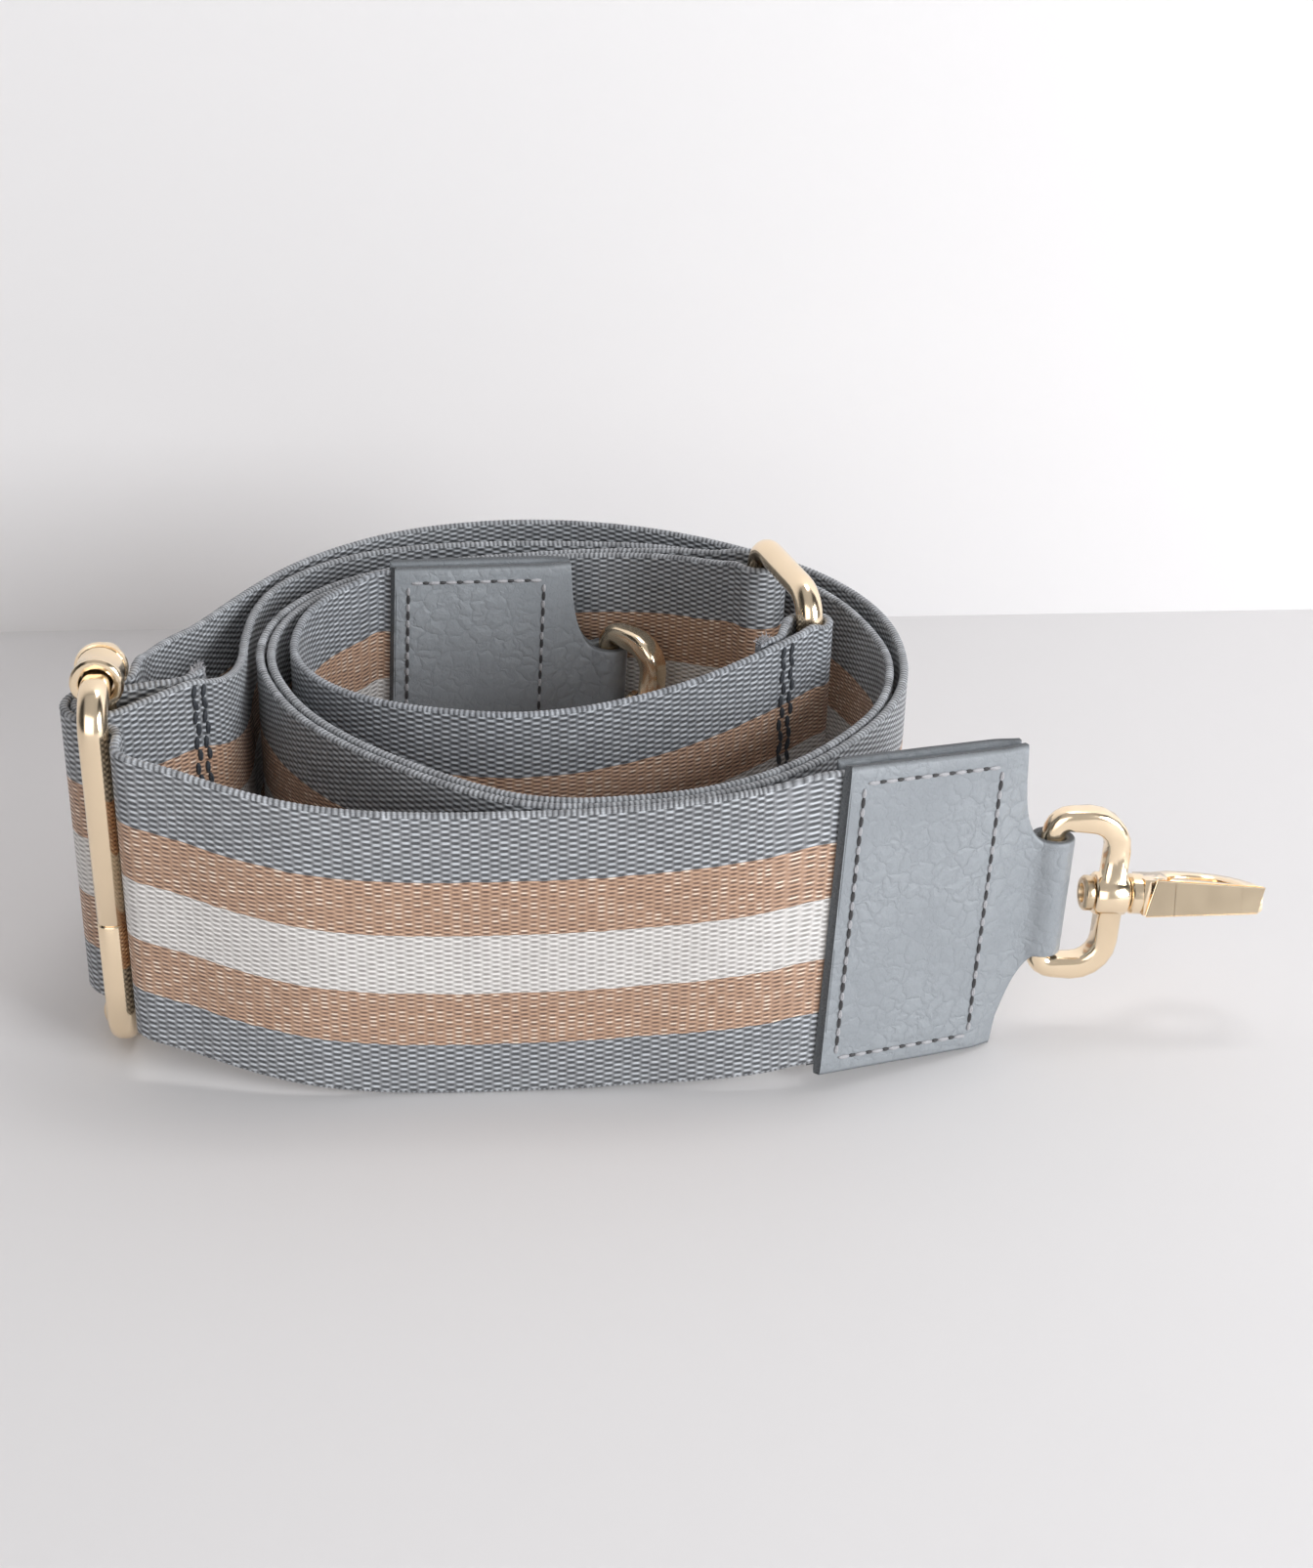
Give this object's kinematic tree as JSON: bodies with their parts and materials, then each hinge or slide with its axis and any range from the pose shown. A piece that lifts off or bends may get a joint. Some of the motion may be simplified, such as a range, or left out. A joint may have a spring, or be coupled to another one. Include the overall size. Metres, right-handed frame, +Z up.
{
  "type": "bag_strap",
  "caption": "Detachable bag strap of wide striped webbing, rolled up on its edge, with slider, adjuster ring and leather tabs holding gated swivel hooks.",
  "frame": {"origin": "under the middle of the whole part's box, on the surface it stands on", "axes": "+X from the slider to the outer hook, +Y from the outer tab's side to the back of the roll, +Z up along the webbing's width"},
  "size_m": [0.189, 0.1182, 0.0669],
  "materials": {
    "long_webbing": "woven webbing with lengthwise stripes",
    "short_webbing": "woven webbing with lengthwise stripes",
    "leather": "pebbled grey-blue leather",
    "pale_gold": "polished pale gold plating",
    "pin_gold": "satin gold plating",
    "spring_steel": "plain spring wire"
  },
  "bodies": {
    "strap": {"webbing_front_run": "long_webbing", "webbing_outer_lap": "long_webbing", "webbing_inner_lap": "long_webbing", "short_webbing": "short_webbing", "outer_tab": "leather", "inner_tab": "leather", "slider_frame": "pale_gold"},
    "slider_bar": {"slider_centre_bar": "pale_gold"},
    "ring": {"adjuster_ring": "pale_gold"},
    "outer_eye": {"outer_hook_eye": "pale_gold"},
    "outer_hook": {"outer_hook_swivel_post": "pin_gold", "outer_hook_body": "pale_gold", "outer_hook_gate_pin": "pin_gold", "outer_hook_gate_spring": "spring_steel"},
    "outer_gate": {"outer_hook_gate": "pale_gold"},
    "inner_eye": {"inner_hook_eye": "pale_gold"},
    "inner_hook": {"inner_hook_swivel_post": "pin_gold", "inner_hook_body": "pale_gold", "inner_hook_gate_pin": "pin_gold", "inner_hook_gate_spring": "spring_steel"},
    "inner_gate": {"inner_hook_gate": "pale_gold"}
  },
  "joints": [
    {"name": "centre_bar_slide", "type": "slide", "parent": "strap", "child": "slider_bar", "axis": [-0.0941, 0.9956, 0], "range_m": [-0.0008, 0.0008]},
    {"name": "ring_rock", "type": "hinge", "parent": "strap", "child": "ring", "pos_m": [0.02145, 0.00628, 0.03043], "axis": [0, 0, 1], "range_deg": [-1.5, 1.5]},
    {"name": "outer_eye_hinge", "type": "hinge", "parent": "strap", "child": "outer_eye", "pos_m": [0.05924, -0.03222, 0.02491], "axis": [0.043, 0.097, 0.9944], "range_deg": [-85, 85]},
    {"name": "outer_hook_swivel", "type": "hinge", "parent": "outer_eye", "child": "outer_hook", "pos_m": [0.05924, -0.03222, 0.02491], "axis": [0.9931, 0.1047, -0.0532], "continuous": true},
    {"name": "outer_gate_hinge", "type": "hinge", "parent": "outer_hook", "child": "outer_gate", "pos_m": [0.07754, -0.03237, 0.02467], "axis": [-0.0153, -0.3336, -0.9426], "range_deg": [-18, 0], "stiffness_Nm_per_rad": 0.01, "springref_deg": 51.57},
    {"name": "inner_eye_hinge", "type": "hinge", "parent": "strap", "child": "inner_eye", "pos_m": [-0.0137, 0.03519, 0.02518], "axis": [0.0408, 0.0094, 0.9991], "range_deg": [-15, 2]},
    {"name": "inner_hook_swivel", "type": "hinge", "parent": "inner_eye", "child": "inner_hook", "pos_m": [-0.0137, 0.03519, 0.02518], "axis": [0.7766, -0.6294, -0.0258], "range_deg": [-15, 15]},
    {"name": "inner_gate_hinge", "type": "hinge", "parent": "inner_hook", "child": "inner_gate", "pos_m": [0.0005, 0.02378, 0.02691], "axis": [-0.6286, -0.777, 0.033], "range_deg": [-18, 0], "stiffness_Nm_per_rad": 0.01, "springref_deg": 51.57}
  ]
}
